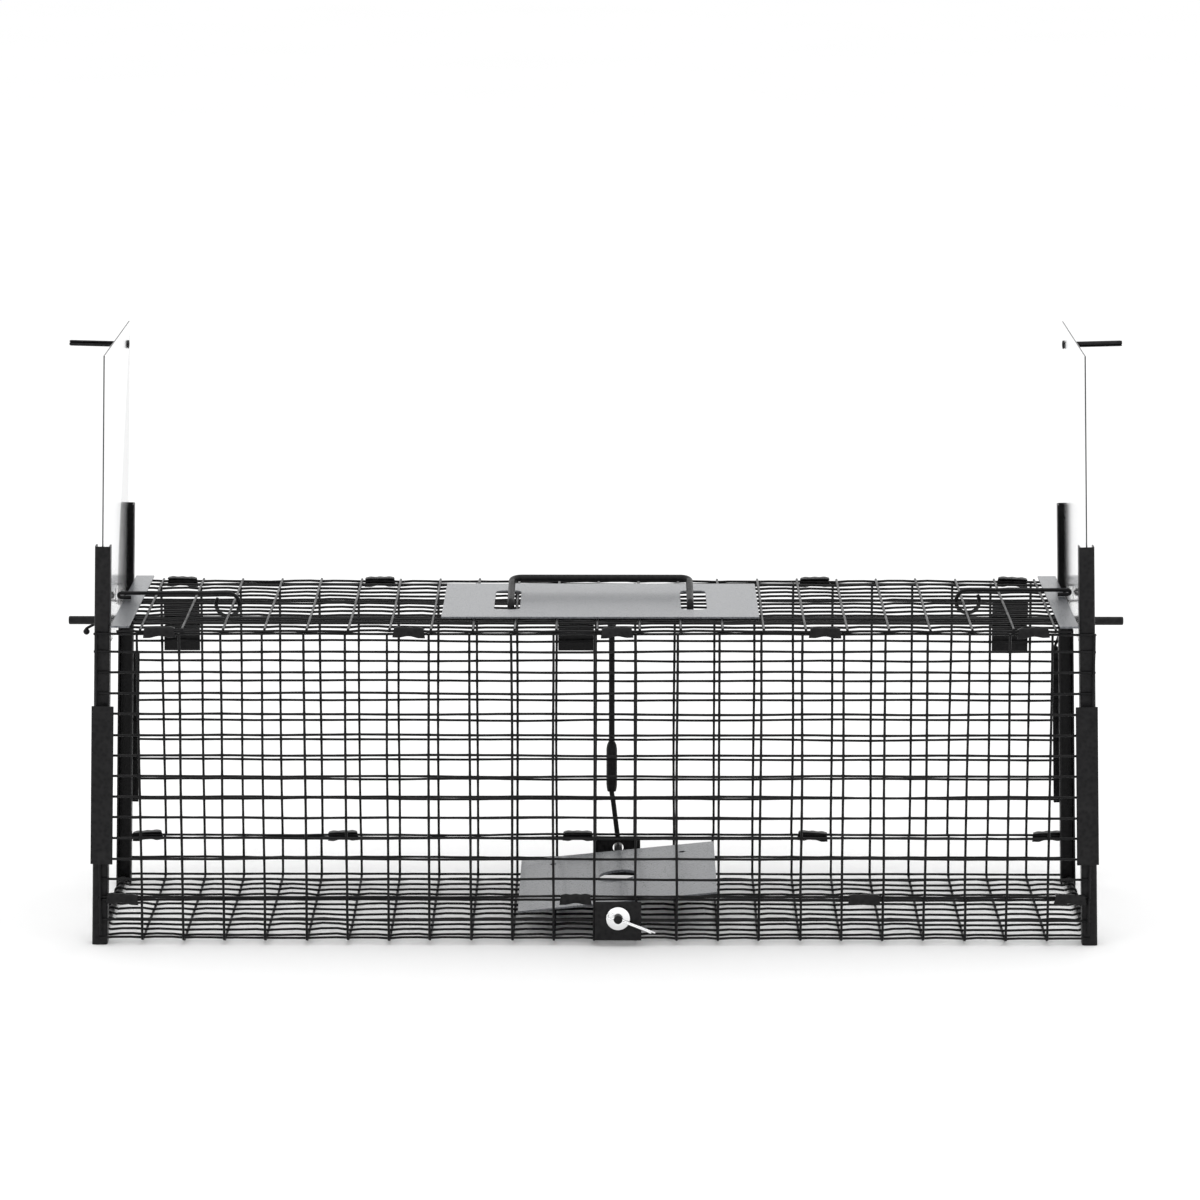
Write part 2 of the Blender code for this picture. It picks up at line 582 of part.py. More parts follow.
def build_treadle(trap):
    """Tilting plate on two stub shafts, with the arm that works the trip bar."""
    rise = math.atan2(SHAFT_REAR_Z - SHAFT_FRONT_Z, 2 * MESH_OUTSIDE)
    pivot = empty("treadle_pivot", trap, (TREADLE_X, 0.0, shaft_height(0.0)), (rise, 0.0, 0.0))
    tilt = empty("treadle_tilt", pivot, (0.0, 0.0, 0.0), (0.0, TREADLE_TILT, 0.0))
    half = TREADLE_SIZE / 2
    top = SHAFT_RADIUS + GAP + TREADLE_THICKNESS
    plate = box("treadle_plate", (-half, -half, top - TREADLE_THICKNESS), (half, half, top))
    place(plate, tilt, GREY_HAMMER)
    cut_low = top - TREADLE_THICKNESS - CUT_PAST
    cut_high = top + CUT_PAST
    cut(plate, rod("bait_hole", BAIT_HOLE_RADIUS, (0.0, 0.0, cut_low), (0.0, 0.0, cut_high), 32), tilt)
    for title, side in (("left", -1), ("right", 1)):
        x = side * RIVET_HOLE_X
        cut(plate, rod(f"{title}_rivet_hole", RIVET_HOLE_RADIUS, (x, RIVET_HOLE_Y, cut_low),
                       (x, RIVET_HOLE_Y, cut_high)), tilt)
    inner = half - SHAFT_UNDER_PLATE
    front = rod("treadle_shaft_front", SHAFT_RADIUS, (0.0, SHAFT_FRONT_Y, 0.0), (0.0, -inner, 0.0), 20)
    place(front, tilt, BLACK_HAMMER)
    rear_end = BRACKET_FACE + SHAFT_REAR_END
    rear = rod("treadle_shaft_rear", SHAFT_RADIUS, (0.0, inner, 0.0), (0.0, rear_end, 0.0), 20)
    place(rear, tilt, BLACK_HAMMER)
    washer_y = -BRACKET_FACE - GAP
    washer = rod("shaft_washer", WASHER_RADIUS, (0.0, washer_y - WASHER_THICKNESS, 0.0),
                 (0.0, washer_y, 0.0), 28)
    place(washer, tilt, BRIGHT_ZINC)
    washer_hole = rod("washer_hole", WASHER_HOLE_RADIUS, (0.0, washer_y - WASHER_THICKNESS - CUT_PAST, 0.0),
                      (0.0, washer_y + CUT_PAST, 0.0), 20)
    cut(washer, washer_hole, tilt)
    pin_y = washer_y - WASHER_THICKNESS - GAP - PIN_RADIUS
    slope = PIN_SLOPE - TREADLE_TILT
    along = Vector((math.cos(slope), 0.0, -math.sin(slope)))
    centre = Vector((0.0, pin_y, 0.0))
    pin = rod("split_pin", PIN_RADIUS, centre - along * PIN_HEAD_SIDE, centre + along * PIN_TAIL_SIDE, 10)
    place(pin, tilt, BRIGHT_ZINC)
    through = along * (SHAFT_RADIUS + CUT_PAST)
    cut(front, rod("pin_hole", PIN_HOLE_RADIUS, centre - through, centre + through, 12), tilt)
    build_treadle_arm(tilt, rise)


def build_treadle_arm(tilt, rise):
    """Rod that stands on the rear shaft and enters the sleeve of the trip bar."""
    foot_z = shaft_height(BAR_Y) + SHAFT_RADIUS + 2 * GAP
    stations = [(TREADLE_X, foot_z), (STEM_X + ARM_BEND_OFFSET, SLEEVE_BOTTOM - ARM_BEND_BELOW),
                (STEM_X, SLEEVE_BOTTOM - ARM_BELOW_SLEEVE), (STEM_X, SLEEVE_BOTTOM + ARM_IN_SLEEVE)]
    at_rest = (Matrix.Translation((TREADLE_X, 0.0, shaft_height(0.0)))
               @ Matrix.Rotation(rise, 4, "X") @ Matrix.Rotation(TREADLE_TILT, 4, "Y"))
    points = [at_rest.inverted() @ Vector((x, BAR_Y, z)) for x, z in stations]
    place(wire("treadle_arm", points, ARM_RADIUS), tilt, BLACK_HAMMER)


def build_brackets(trap):
    """Plates outside the front and rear lips that carry the treadle's shafts."""
    for title, facing in (("front", -1), ("rear", 1)):
        near = facing * (MESH_OUTSIDE + GAP)
        far = near + facing * BRACKET_THICKNESS
        axis_z = shaft_height(facing * MESH_OUTSIDE)
        top = max(BRACKET_MIN_TOP, axis_z + BRACKET_ABOVE_SHAFT)
        low = (TREADLE_X - BRACKET_WIDTH / 2, min(near, far), BRACKET_BOTTOM)
        high = (TREADLE_X + BRACKET_WIDTH / 2, max(near, far), top)
        bracket = place(box(f"{title}_bracket", low, high), trap, BLACK_HAMMER)
        hole = rod(f"{title}_shaft_hole", BRACKET_HOLE_RADIUS, (TREADLE_X, near - facing * CUT_PAST, axis_z),
                   (TREADLE_X, far + facing * CUT_PAST, axis_z), 24)
        cut(bracket, hole, trap)


def build_handle(trap):
    """Plate on the top mesh with two windows, and the bail whose ends curl round a wire below them."""
    low = (PLATE_X - PLATE_LENGTH / 2, PLATE_Y - PLATE_DEPTH / 2, PLATE_Z)
    high = (PLATE_X + PLATE_LENGTH / 2, PLATE_Y + PLATE_DEPTH / 2, PLATE_Z + PLATE_THICKNESS)
    plate = place(box("handle_plate", low, high), trap, GREY_HAMMER)
    for title, side in (("left", -1), ("right", 1)):
        cut(plate, window_cutter(f"{title}_window", PLATE_X + side * WINDOW_SPACING), trap)
    pivot = empty("handle_pivot", trap, (PLATE_X, HANDLE_PIVOT_Y, TOP_SHEET_Z), (HANDLE_RAISE, 0.0, 0.0))
    half = HANDLE_SPAN / 2
    leg = [(y, z) for y, z in arc((0.0, 0.0), HANDLE_EYE_RADIUS, math.pi / 2 + HANDLE_EYE_SWEEP,
                                  -HANDLE_EYE_SWEEP, 14)]
    points = [(-half, y, z) for y, z in leg]
    reach = HANDLE_LEG
    corner = arc((-half + HANDLE_BEND, reach - HANDLE_BEND), HANDLE_BEND, math.pi, -math.pi / 2, 5)
    points += [(x, y, HANDLE_EYE_RADIUS) for x, y in corner]
    points += [(-x, y, z) for x, y, z in reversed(points)]
    place(wire("carry_handle", points, HANDLE_RADIUS), pivot, BLACK_HAMMER)


def window_cutter(name, x):
    """A round-cornered slot that runs front to rear."""
    bm = bmesh.new()
    bmesh.ops.create_cube(bm, size=1.0)
    bmesh.ops.scale(bm, vec=(WINDOW_WIDTH, WINDOW_LENGTH, PLATE_THICKNESS + 2 * CUT_PAST), verts=bm.verts)
    upright = [edge for edge in bm.edges if abs(edge.verts[0].co.z - edge.verts[1].co.z) > PLATE_THICKNESS]
    bmesh.ops.bevel(bm, geom=upright, offset=WINDOW_RADIUS, segments=4, profile=0.5, affect="EDGES")
    bmesh.ops.translate(bm, vec=(x, PLATE_Y, PLATE_Z), verts=bm.verts)
    return mesh_object(name, bm)


def build_clips(trap):
    """Seam clips: one pressed C shape, shared by all, closed over the edge wires of two panels."""
    inside = CLIP_INSIDE / 2 + CLIP_THICKNESS / 2
    tip = CLIP_STANDOFF - CLIP_REACH
    corners = ((tip, -inside), (CLIP_STANDOFF, -inside), (CLIP_STANDOFF, inside), (tip, inside))
    outline = rounded(corners, CLIP_THICKNESS, 2)
    shape = folded("clip_shape", outline, 0, -CLIP_LENGTH / 2, CLIP_LENGTH / 2, CLIP_THICKNESS)
    data = shape.data
    bpy.data.objects.remove(shape)
    lower_z = (LIP_TOP + PANEL_BOTTOM_Z) / 2
    upper_z = (PANEL_TOP_Z - BAR_WIDTH / 2 + TOP_SHEET_Z + SHEET_THICKNESS / 2) / 2
    top_end = CELLS_LONG / 2 - TOP_CLIP_FROM_END
    lower_end = CELLS_LONG / 2 - LOWER_CLIP_FROM_END
    rows = (("front_top", -1, upper_z, top_end, FRONT_TOP_CLIPS),
            ("rear_top", 1, upper_z, top_end, REAR_TOP_CLIPS),
            ("rear_lower", 1, lower_z, lower_end, REAR_LOWER_CLIPS),
            ("front_lower", -1, lower_z, lower_end, FRONT_LOWER_CLIPS))
    for title, facing, z, end, cells in rows:
        for number, cell in enumerate((-end, *cells, end), 1):
            clip = bpy.data.objects.new(f"{title}_clip_{number}", data)
            sheet = clip.modifiers.new("sheet", "SOLIDIFY")
            sheet.thickness = CLIP_THICKNESS
            sheet.offset = 0.0
            sheet.use_even_offset = True
            turn = 0.0 if facing > 0 else math.pi
            clip.location = (cell * CELL_X + TOP_SHIFT / 2, facing * HALF_DEPTH, z)
            clip.rotation_euler = (0.0, 0.0, turn)
            place(clip, trap, BLACK_HAMMER)


def build_trap():
    """Assemble the whole trap on one guide, centred on the ground."""
    start_scene()
    trap = empty("trap", None, (0.0, CENTRE_Y, 0.0))
    ground = box("ground", (-GROUND_SIZE, -GROUND_SIZE, -GROUND_SIZE), (GROUND_SIZE, GROUND_SIZE, 0.0))
    bpy.data.collections["cutters"].objects.link(ground)
    ground.hide_render = True
    ground.display_type = "WIRE"
    build_mesh_panels(trap)
    slide = build_trip_bar(trap)
    for title, side in (("left", -1), ("right", 1)):
        end = build_end_frame(trap, title, side, ground)
        build_door(end, title, side)
        build_catch_lever(trap, title, side)
    build_lock_hook(slide, "left", -BAR_REACH + HOOK_OUTBOARD)
    build_lock_hook(slide, "right", HALF_LENGTH - HOOK_FROM_CAGE_END)
    build_treadle(trap)
    build_brackets(trap)
    build_handle(trap)
    build_clips(trap)


build_trap()
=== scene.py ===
import json
import math

import bmesh
import bpy
from mathutils import Matrix, Vector
from mathutils.noise import noise


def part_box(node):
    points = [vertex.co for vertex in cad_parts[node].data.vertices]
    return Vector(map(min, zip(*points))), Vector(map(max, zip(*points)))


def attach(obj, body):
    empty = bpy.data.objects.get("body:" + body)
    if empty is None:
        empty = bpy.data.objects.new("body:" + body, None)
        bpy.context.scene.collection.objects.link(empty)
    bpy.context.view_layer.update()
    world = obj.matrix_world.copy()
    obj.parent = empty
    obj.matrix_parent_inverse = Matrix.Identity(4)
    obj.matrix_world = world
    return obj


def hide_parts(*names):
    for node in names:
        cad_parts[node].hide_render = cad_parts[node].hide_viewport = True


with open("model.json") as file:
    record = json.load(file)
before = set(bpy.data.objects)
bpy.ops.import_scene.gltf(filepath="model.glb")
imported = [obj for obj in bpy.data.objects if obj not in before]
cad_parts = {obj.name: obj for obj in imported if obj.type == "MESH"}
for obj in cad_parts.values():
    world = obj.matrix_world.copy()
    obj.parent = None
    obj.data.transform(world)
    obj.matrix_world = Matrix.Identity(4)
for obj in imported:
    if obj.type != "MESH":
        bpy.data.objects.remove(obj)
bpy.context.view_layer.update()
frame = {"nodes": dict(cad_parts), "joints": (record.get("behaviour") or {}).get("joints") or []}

# --------------------------------------------------------------------------------------------------
# Floor tray. One sheet of welded mesh whose front and rear edges are folded up as lips two cells high.
# Steel wire, the crossings spot welded, then dipped in glossy black enamel. Between the door channels the
# ends of its long wires are curled over the cross rods.

CELL_LONG = 0.0254
CELL = 0.0127
WIRE_RADIUS = 0.00079
LAYER = 0.00064
FOLD_RADIUS = 0.0026
CURL_RADIUS = 0.0027


class Socket:
    """A socket of a finish's nodes that can be used in sums."""

    def __init__(self, tree, socket):
        self.tree = tree
        self.socket = socket

    def node(self, kind, settings, inputs, output=0):
        """Add a node, set it up, feed its inputs, and hand back one of its outputs."""
        made = self.tree.nodes.new(kind)
        for key, value in settings.items():
            if key == "stops":
                ramp = made.color_ramp.elements
                for spot, (place, shade) in enumerate(value):
                    stop = ramp[spot] if spot < len(ramp) else ramp.new(place)
                    stop.position = place
                    stop.color = (shade, shade, shade, 1.0)
            else:
                setattr(made, key, value)
        for key, value in inputs.items():
            if isinstance(value, Socket):
                self.tree.links.new(value.socket, made.inputs[key])
            else:
                made.inputs[key].default_value = value
        return Socket(self.tree, made.outputs[output])

    def sum(self, operation, first, second):
        return self.node("ShaderNodeMath", {"operation": operation}, {0: first, 1: second})

    def __add__(self, other):
        return self.sum("ADD", self, other)

    __radd__ = __add__

    def __mul__(self, other):
        return self.sum("MULTIPLY", self, other)

    __rmul__ = __mul__

    def __sub__(self, other):
        return self.sum("SUBTRACT", self, other)

    def __rsub__(self, other):
        return self.sum("SUBTRACT", other, self)

    def grain(self, scale, detail=3.0, rough=0.5):
        """Soft irregular patches, so many to the metre."""
        return self.node("ShaderNodeTexNoise", {}, {"Vector": self, "Scale": scale, "Detail": detail,
                                                     "Roughness": rough})

    def cells(self, scale, feature="F1", output=0):
        """Close-packed cells, so many to the metre."""
        inputs = {"Vector": self, "Scale": scale}
        return self.node("ShaderNodeTexVoronoi", {"feature": feature}, inputs, output)

    def steps(self, *stops):
        """Remap 0 to 1 through grey stops."""
        return self.node("ShaderNodeValToRGB", {"stops": stops}, {0: self})

    def between(self, low, high):
        """A colour part of the way from low to high."""
        return self.node("ShaderNodeMix", {"data_type": "RGBA"}, {0: self, 6: low, 7: high}, 2)

    def facing(self, axis):
        """How squarely the surface faces along an axis of the piece, 0 to 1."""
        coords = self.socket.node.outputs["Normal"]
        parts = self.node("ShaderNodeSeparateXYZ", {}, {0: Socket(self.tree, coords)}, axis)
        return parts.sum("ABSOLUTE", parts, 0.0)

    def stretched(self, x, y, z):
        """The same place measured with other units along each axis."""
        return self.node("ShaderNodeVectorMath", {"operation": "MULTIPLY"}, {0: self, 1: (x, y, z)})


def finish(name, **constants):
    """A new material, its shader and the place on the piece as a socket."""
    material = bpy.data.materials.new(name)
    material.use_nodes = True
    shader = material.node_tree.nodes["Principled BSDF"]
    for key, value in constants.items():
        shader.inputs[key.replace("_", " ")].default_value = value
    coords = material.node_tree.nodes.new("ShaderNodeTexCoord")
    return material, shader, Socket(material.node_tree, coords.outputs["Object"])


def feed(shader, colour, roughness, height, depth, strength=1.0):
    """Plug the pattern of a finish into its shader: colour, roughness and the relief of its surface."""
    links = colour.tree.links
    links.new(colour.socket, shader.inputs["Base Color"])
    links.new(roughness.socket, shader.inputs["Roughness"])
    relief = height.node("ShaderNodeBump", {}, {"Strength": strength, "Distance": depth, "Height": height})
    links.new(relief.socket, shader.inputs["Normal"])


def show(piece, material, slot, body, *nodes):
    """Put a finished piece in the scene on its body, in place of the CAD nodes it stands for."""
    if piece.name not in bpy.context.scene.collection.objects:
        bpy.context.scene.collection.objects.link(piece)
    piece.data.materials.clear()
    piece.data.materials.append(material)
    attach(piece, body)
    if nodes:
        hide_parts(*nodes)
    return piece


def wires(name, runs, radius, sides=2):
    """Round wire along each run; a run is points, each a place or a place with its share of the radius."""
    data = bpy.data.curves.new(name, "CURVE")
    data.dimensions = "3D"
    data.bevel_depth = radius
    data.bevel_resolution = sides
    data.use_fill_caps = True
    for run in runs:
        spline = data.splines.new("POLY")
        spline.points.add(len(run) - 1)
        for spot, point in zip(spline.points, run):
            spot.co = (*point[:3], 1.0)
            spot.radius = point[3] if len(point) > 3 else 1.0
    curve = bpy.data.objects.new(name, data)
    bpy.context.scene.collection.objects.link(curve)
    bpy.context.view_layer.update()
    graph = bpy.context.evaluated_depsgraph_get()
    mesh = bpy.data.meshes.new_from_object(curve.evaluated_get(graph))
    bpy.data.objects.remove(curve)
    bm = bmesh.new()
    bm.from_mesh(mesh)
    bmesh.ops.remove_doubles(bm, verts=bm.verts, dist=0.00001)
    bmesh.ops.recalc_face_normals(bm, faces=bm.faces)
    bm.to_mesh(mesh)
    bm.free()
    mesh.shade_smooth()
    mesh.set_sharp_from_angle(angle=math.radians(50))
    return bpy.data.objects.new(name, mesh)


def wander(seed, place, pitch, size):
    """A slow sideways drift of a wire that was never quite straight."""
    return size * noise((place / pitch, seed * 7.31, 0.37))


def welded(columns, rows, lay, buckle, kink):
    """Runs of a welded mesh: short wires outside, long wires inside, fused where they cross."""
    runs = []
    for number, (u, low, high) in enumerate(columns):
        run = []
        stops = [low] + sorted(v for v, *_ in rows if low + 0.001 < v < high - 0.001) + [high]
        for before, after in zip(stops, stops[1:]):
            run.append((before, 1.08))
            run.append(((before + after) / 2, 0.98))
        run.append((high, 0.98))
        points = []
        for v, share in run:
            side = u + wander(number, v, 0.09, buckle)
            points.append((*lay(side, v, LAYER + wander(3.0, u * 3 + v, 0.05, buckle)), share))
        runs.append(points)
    for number, (v, *spans) in enumerate(rows):
        for low, high in spans:
            crossings = sorted(u for u, start, end in columns
                               if low + 0.001 < u < high - 0.001 and start - 0.002 < v < end + 0.002)
            stops = [low] + crossings + [high]
            points = []
            for before, after in zip(stops, stops[1:]):
                for part in (0.0, 0.3, 0.7):
                    u = before + (after - before) * part
                    up = v + wander(number + 40, u, 0.07, buckle)
                    sag = kink * math.sin(math.pi * part) * (0.6 + 0.4 * math.sin(u * 37.0 + number))
                    share = 1.06 if part == 0.0 else 0.97
                    out = -LAYER - sag + wander(3.0, u * 3 + v, 0.05, buckle)
                    points.append((*lay(u, up, out), share))
            points.append((*lay(high, v, -LAYER), 0.97))
            runs.append(points)
    return runs


enamel, shader, spot = finish("black_wire_enamel", Specular_IOR_Level=0.14)
dust = spot.grain(90.0, 4.0).steps((0.42, 0.0), (0.78, 1.0))
skin = spot.grain(900.0, 2.0)
feed(shader, dust.between((0.0035, 0.0035, 0.004, 1.0), (0.013, 0.0125, 0.013, 1.0)),
     0.27 + 0.2 * dust + 0.08 * skin, skin + 0.6 * spot.grain(260.0), 0.00012, 0.6)

floor_low, floor_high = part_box("floor_mesh")
lip_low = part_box("floor_lip_front")[0]
rear_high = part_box("floor_lip_rear")[1]
rod_low, rod_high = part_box("right_cross_rod")
MIDDLE_Y = (lip_low.y + rear_high.y) / 2
FLOOR_Z = (floor_low.z + floor_high.z) / 2
top_low, top_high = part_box("top_mesh")
TOP_Z = (top_low.z + top_high.z) / 2
CELL_HIGH = (TOP_Z - 0.0003 - FLOOR_Z) / 15
HALF_LENGTH = CELL_LONG * 12
HALF_DEPTH = CELL * 6.5
ROD_X = (rod_low.x + rod_high.x) / 2
ROD_Z = (rod_low.z + rod_high.z) / 2
SHAFT_CELL = (0.0, CELL_LONG)


def fold(s):
    """Distance from the middle of the tray that brings the folded sheet to a height s above its floor."""
    return HALF_DEPTH - FOLD_RADIUS + FOLD_RADIUS * math.pi / 2 + s - FOLD_RADIUS


def tray(x, s, out):
    """A place on the folded tray: along the cage, across it from lip to lip, and outwards."""
    side = math.copysign(1.0, s)
    past = abs(s) - (HALF_DEPTH - FOLD_RADIUS)
    if past <= 0.0:
        return x, MIDDLE_Y + s, FLOOR_Z - out
    turn = min(past / FOLD_RADIUS, math.pi / 2)
    y = HALF_DEPTH - FOLD_RADIUS + (FOLD_RADIUS + out) * math.sin(turn)
    z = FLOOR_Z + FOLD_RADIUS - (FOLD_RADIUS + out) * math.cos(turn)
    return x, MIDDLE_Y + side * y, z + max(0.0, past - FOLD_RADIUS * math.pi / 2)


def curled(side, s):
    """The end of a long floor wire, bent over the cross rod and down its outer side."""
    points = []
    for step in range(9):
        angle = math.radians(125.0 - 155.0 * step / 8)
        x = ROD_X + CURL_RADIUS * math.cos(angle)
        points.append((side * x, MIDDLE_Y + s, ROD_Z + CURL_RADIUS * math.sin(angle), 0.97))
    return points


tip = fold(2 * CELL_HIGH) + 0.0012
tray_columns = [(x * CELL_LONG, -tip, tip) for x in range(-11, 12)]
tray_columns += [(side * HALF_LENGTH, start, end) for side in (-1, 1)
                 for start, end in ((-tip, -fold(0.004)), (fold(0.004), tip))]
whole = (-HALF_LENGTH - 0.0012, HALF_LENGTH + 0.0012)
tray_rows = [(row * CELL - HALF_DEPTH, (-ROD_X + 0.005, ROD_X - 0.005)) for row in range(1, 13)]
tray_rows += [(side * fold(0.0014), whole) for side in (-1, 1)]
gapped = ((whole[0], SHAFT_CELL[0]), (SHAFT_CELL[1], whole[1]))
tray_rows += [(side * fold(CELL_HIGH), *gapped) for side in (-1, 1)]
tray_rows += [(side * fold(2 * CELL_HIGH), whole) for side in (-1, 1)]
tray_runs = welded(tray_columns, tray_rows, tray, 0.0006, 0.0009)
for row in range(1, 13):
    for side in (-1, 1):
        reach = Vector(tray(side * (ROD_X - 0.005), row * CELL - HALF_DEPTH, -LAYER))
        tray_runs.append([(*reach, 0.97)] + curled(side, row * CELL - HALF_DEPTH))
show(wires("floor_tray", tray_runs, WIRE_RADIUS), enamel, "black_wire", "root",
     "floor_mesh", "floor_lip_front", "floor_lip_rear")

# --------------------------------------------------------------------------------------------------
# Front, rear and top panels. Three flat sheets of the same welded mesh and enamel. The front and rear ones
# stand inside the lips, and the top one lies across them, its cut ends under the two end strips.

front_low, front_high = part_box("front_mesh")
TOP_SHIFT = (top_low.x + top_high.x) / 2 + 0.002
WALL_LOW = front_low.z + 0.0008
WALL_HIGH = front_high.z - 0.0008


def front_wall(x, z, out):
    return x, MIDDLE_Y - HALF_DEPTH - out, z


def rear_wall(x, z, out):
    return x, MIDDLE_Y + HALF_DEPTH + out, z


def roof(x, y, out):
    return x, MIDDLE_Y + y, TOP_Z + out


wall_columns = [(x * CELL_LONG, WALL_LOW - 0.0008, WALL_HIGH + 0.0006) for x in range(-12, 13)]
wall_rows = [(WALL_LOW, whole)]
wall_rows += [(FLOOR_Z + row * CELL_HIGH, whole) for row in range(3, 15)]
wall_rows += [(WALL_HIGH, whole)]
show(wires("front_panel", welded(wall_columns, wall_rows, front_wall, 0.0007, 0.0), WIRE_RADIUS), enamel,
     "black_wire", "root", "front_mesh")
show(wires("rear_panel", welded(wall_columns, wall_rows, rear_wall, 0.0008, 0.0), WIRE_RADIUS), enamel,
     "black_wire", "root", "rear_mesh")
roof_ends = (top_low.x + 0.001, top_high.x - 0.001)
roof_columns = [(x * CELL_LONG + TOP_SHIFT, -HALF_DEPTH - 0.001, HALF_DEPTH + 0.001) for x in range(-11, 12)]
roof_rows = [(row * CELL - HALF_DEPTH, roof_ends) for row in range(14)]
show(wires("top_panel", welded(roof_columns, roof_rows, roof, 0.0005, -0.0006), WIRE_RADIUS), enamel,
     "black_wire", "root", "top_mesh")

# --------------------------------------------------------------------------------------------------
# Seam clips. Short strips of black-painted sheet steel, arched between two feet, closed with pliers over
# the edge wires of two panels, so that they hinge and hold the sheets together.

CLIP_SHEET = 0.0007


def sheet(name, grid, thickness):
    """A bent sheet through rows of points, given its thickness and a fine rounded edge."""
    bm = bmesh.new()
    verts = [[bm.verts.new(point) for point in row] for row in grid]
    for row, following in zip(verts, verts[1:]):
        for corner in range(len(row) - 1):
            bm.faces.new((row[corner], following[corner], following[corner + 1], row[corner + 1]))
    bmesh.ops.recalc_face_normals(bm, faces=bm.faces)
    mesh = bpy.data.meshes.new(name)
    bm.to_mesh(mesh)
    bm.free()
    mesh.shade_smooth()
    mesh.set_sharp_from_angle(angle=math.radians(40))
    piece = bpy.data.objects.new(name, mesh)
    bpy.context.scene.collection.objects.link(piece)
    shell = piece.modifiers.new("thickness", "SOLIDIFY")
    shell.thickness = thickness
    shell.offset = 0.0
    shell.use_even_offset = True
    round_edges(piece, thickness * 0.22)
    return piece


def round_edges(piece, width, weld=False):
    """Break the sharp edges of a piece, as paint and handling do."""
    if weld:
        joined = piece.modifiers.new("weld", "WELD")
        joined.merge_threshold = 0.00002
    edge = piece.modifiers.new("edges", "BEVEL")
    edge.width = width
    edge.segments = 2
    edge.limit_method = "ANGLE"
    edge.angle_limit = math.radians(40)
    edge.harden_normals = True
    return piece


black, shader, spot = finish("black_hammer_enamel", Specular_IOR_Level=0.13)
dents = spot.cells(420.0, "SMOOTH_F1").steps((0.05, 0.0), (0.62, 1.0))
wear = spot.grain(55.0, 5.0, 0.6).steps((0.5, 0.0), (0.8, 1.0))
feed(shader, (0.55 * dents + 0.45 * wear).between((0.004, 0.004, 0.0045, 1.0), (0.017, 0.0165, 0.017, 1.0)),
     0.3 + 0.12 * dents + 0.14 * wear, dents + 0.3 * spot.grain(1500.0), 0.00018, 0.55)


def clip_grid(length, gap, reach):
    """Half open tube of strip: web outside, legs pressed in by the pliers, arched between its two feet."""
    grid = []
    for step in range(33):
        along = step / 32 * 2 - 1
        bite = 0.5 + 0.5 * math.cos(along * math.pi * 3)
        arch = max(0.0, math.cos(along * math.pi * 0.8)) ** 1.5
        crown = gap / 2 * (1.0 - 0.1 * (1 - bite) - 0.12 * abs(along) ** 6)
        sole = -gap / 2 * (1.0 - 0.34 * arch)
        leg = reach * (0.7 + 0.3 * bite)
        x = along * length / 2
        row = [(x, 0.0016 - leg, crown * 0.8)]
        for turn in range(9):
            angle = math.pi / 2 - math.pi * turn / 8
            height = (crown if turn <= 4 else -sole) * math.sin(angle)
            row.append((x * (1.0 - 0.05 * math.sin(angle)), 0.0016 + 0.0012 * math.cos(angle), height))
        row.append((x, 0.0016 - leg, sole * 0.8))
        grid.append(row)
    return grid


for node in [name for name in frame["nodes"] if "_clip_" in name]:
    low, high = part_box(node)
    middle = (low + high) / 2
    facing = -1.0 if "front" in node else 1.0
    reach = high.y - low.y
    grid = clip_grid(high.x - low.x, high.z - low.z - CLIP_SHEET, reach * 0.9)
    clip = sheet(f"{node}_pressed", grid, CLIP_SHEET)
    tilt = 0.12 * noise((middle.x * 40.0, middle.z * 30.0, 5.0))
    turn = Matrix.Rotation(0.0 if facing > 0 else math.pi, 4, "Z") @ Matrix.Rotation(tilt, 4, "Y")
    clip.data.transform(Matrix.Translation((middle.x, middle.y - facing * 0.0008, middle.z)) @ turn)
    show(clip, black, "black_hammer", "root", node)

# --------------------------------------------------------------------------------------------------
# End frames. At each end two folded channels of black hammertone steel guide the door. Their feet stand on
# the ground, a cross rod is welded between them, and a plate outside each clamps the ends of the mesh.


def paint(node, material, edge):
    """Give a CAD node its finish and break its edges."""
    piece = frame["nodes"][node]
    piece.data.materials.clear()
    piece.data.materials.append(material)
    return round_edges(piece, edge, weld=True)


for title in ("left", "right"):
    for place in ("front", "rear"):
        paint(f"{title}_{place}_channel", black, 0.00022)
        paint(f"{title}_{place}_clamp", black, 0.0003)


def bar(name, start, end, radius, chamfer=0.0004, bow=0.0, sides=6):
    """Cut length of round bar, a little bowed, its ends broken all round."""
    start = Vector(start)
    end = Vector(end)
    length = (end - start).length
    run = []
    shares = [0.0, chamfer / length] + [part / 24 for part in range(1, 24)] + [1 - chamfer / length, 1.0]
    for share in shares:
        point = start.lerp(end, share)
        point.z -= bow * math.sin(math.pi * share)
        run.append((*point, 1.0 - chamfer / radius if share in (0.0, 1.0) else 1.0))
    return wires(name, [run], radius, sides)


for title in ("left", "right"):
    low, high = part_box(f"{title}_cross_rod")
    middle = (low + high) / 2
    ends = [(middle.x, y, middle.z) for y in (low.y, high.y)]
    rod = bar(f"{title}_cross_bar", *ends, (high.z - low.z) / 2)
    show(rod, black, "black_hammer", "root", f"{title}_cross_rod")

# --------------------------------------------------------------------------------------------------
# Top strips. A strip of grey hammertone sheet lies over the cut ends of the top panel at each end of the
# cage and is welded to its wires.

